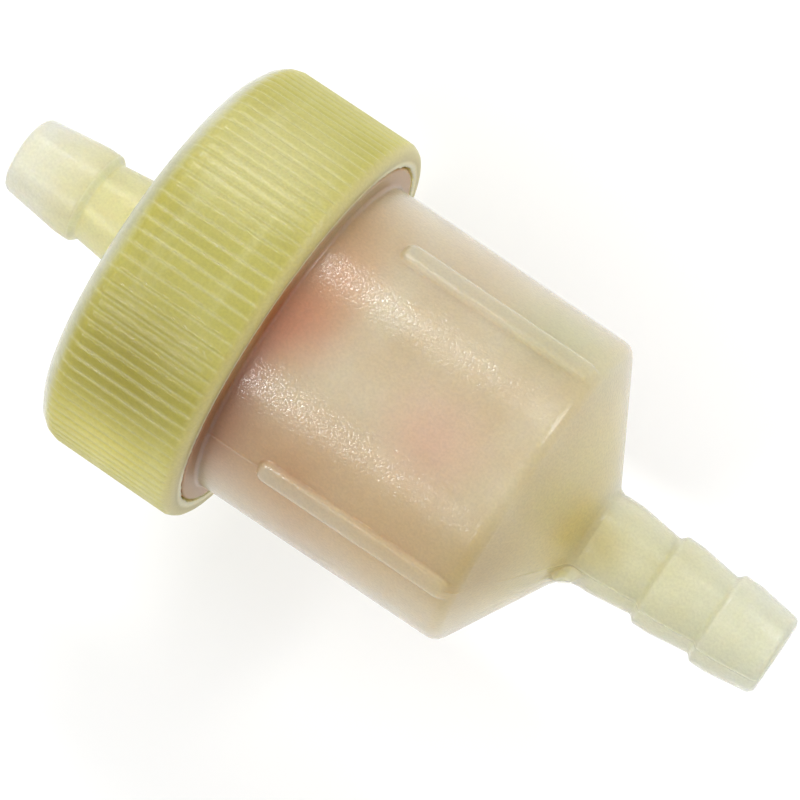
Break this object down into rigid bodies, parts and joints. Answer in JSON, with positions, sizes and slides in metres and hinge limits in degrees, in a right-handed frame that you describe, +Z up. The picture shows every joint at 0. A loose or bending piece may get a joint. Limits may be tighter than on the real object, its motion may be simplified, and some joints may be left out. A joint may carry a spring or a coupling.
{
  "type": "fuel filter",
  "caption": "In-line fuel filter: translucent bowl with ribs and outlet barb, knurled screw cap with inlet barb, and a pleated paper element on a slotted core inside.",
  "frame": {"origin": "on the filter's axis, halfway between the two barb ends", "axes": "+X along the fuel flow, from the inlet barb on the cap to the outlet barb on the bowl; +Z up; the small gate web is on the -Y side"},
  "size_m": [0.0712, 0.0352, 0.0352],
  "materials": {
    "bowl_nylon": "translucent moulded nylon, fine spark-eroded grain",
    "cap_nylon": "translucent moulded nylon, knurled grip",
    "gasket_rubber": "matte nitrile",
    "filter_paper": "resin-treated pleated paper",
    "core_plastic": "moulded",
    "potting_compound": "poured and cured",
    "top_cup_plastic": "moulded",
    "base_cup_plastic": "moulded",
    "seal_rubber": "matte nitrile"
  },
  "bodies": {
    "bowl": {"filter_bowl": "bowl_nylon"},
    "gasket": {"cap_gasket": "gasket_rubber"},
    "cap": {"screw_cap": "cap_nylon"},
    "element": {"pleated_paper": "filter_paper", "element_core": "core_plastic", "top_potting": "potting_compound", "base_potting": "potting_compound", "element_top_cup": "top_cup_plastic", "element_base_cup": "base_cup_plastic", "neck_seal": "seal_rubber"}
  },
  "joints": [
    {"name": "cap_lift", "type": "slide", "parent": "bowl", "child": "gasket", "axis": [-1, 0, 0], "range_m": [0, 0.006]},
    {"name": "cap_turn", "type": "hinge", "parent": "gasket", "child": "cap", "pos_m": [0, 0, 0], "axis": [-1, 0, 0], "range_deg": [0, 720]},
    {"name": "element_draw", "type": "slide", "parent": "bowl", "child": "element", "axis": [-1, 0, 0], "range_m": [0, 0.006]}
  ],
  "couplings": [
    {"joint": "cap_lift", "follows": "cap_turn", "m_per_rad": 0.00047746},
    {"joint": "element_draw", "follows": "cap_turn", "m_per_rad": 0.00047746}
  ]
}
